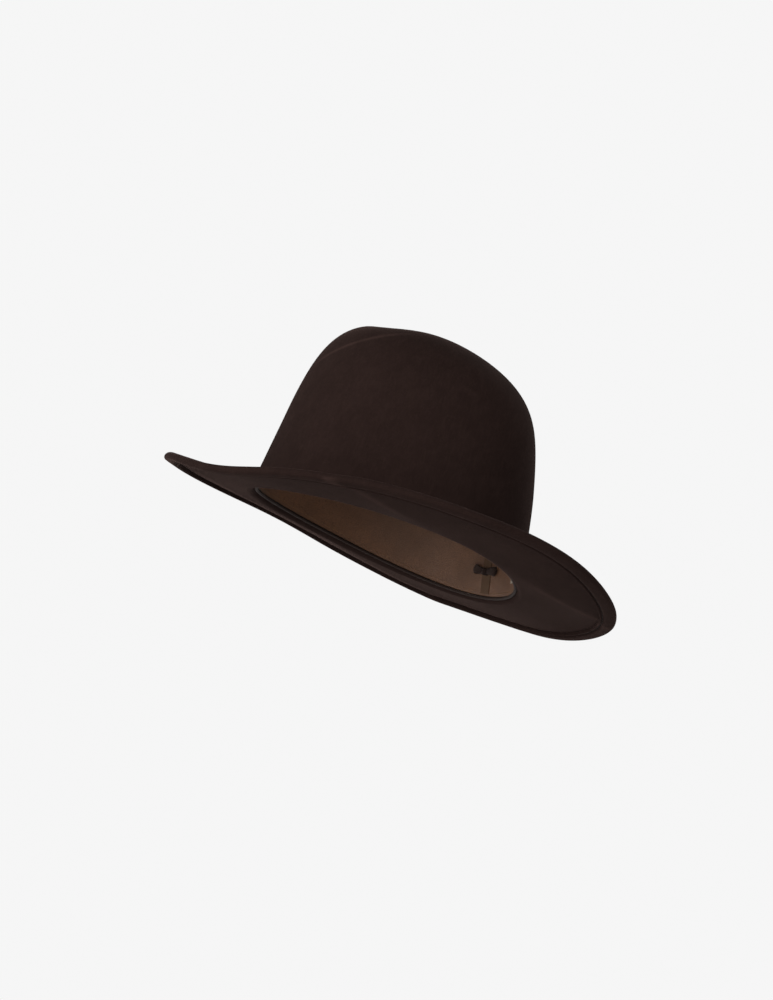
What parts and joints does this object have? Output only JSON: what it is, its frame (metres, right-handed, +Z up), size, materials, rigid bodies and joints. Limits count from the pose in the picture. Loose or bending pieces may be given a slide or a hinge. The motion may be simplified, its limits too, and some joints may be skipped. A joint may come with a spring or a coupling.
{
  "type": "bowler hat",
  "caption": "Brown felt hat with a round, centre-dented crown, a wide, hemmed brim that turns up at the sides, a leather sweatband and a satin lining.",
  "frame": {"origin": "centre of the head opening, at the mean level where the crown meets the brim", "axes": "+Z up along the crown, -Y to the front of the hat, +X to the wearer's left"},
  "size_m": [0.3062, 0.3342, 0.1496],
  "materials": {
    "felt": "matte wool felt",
    "hem_felt": "matte wool felt",
    "brown_thread": "twisted thread",
    "wire_steel": "drawn wire",
    "brass_sleeve": "crimped",
    "band_leather": "semi-gloss leather",
    "reed_plastic": "matte",
    "reed_tape": "woven tape",
    "tan_thread": "twisted thread",
    "seam_tape": "ribbed ribbon",
    "blank_tab": "woven, blank",
    "bow_ribbon": "ribbed ribbon",
    "lining_satin": "satin",
    "tip_satin": "satin",
    "piping_cord": "satin cord"
  },
  "bodies": {
    "root": {"felt_body": "felt", "brim_hem": "hem_felt", "hem_stitching": "brown_thread", "brim_wire": "wire_steel", "wire_joiner": "brass_sleeve", "sweatband": "band_leather", "sweatband_reed": "reed_plastic", "reed_cover": "reed_tape", "sweatband_stitching": "tan_thread", "back_seam_tape": "seam_tape", "size_tab": "blank_tab", "sweatband_bow": "bow_ribbon", "lining_side": "lining_satin", "lining_tip": "tip_satin", "lining_piping": "piping_cord"}
  },
  "joints": []
}
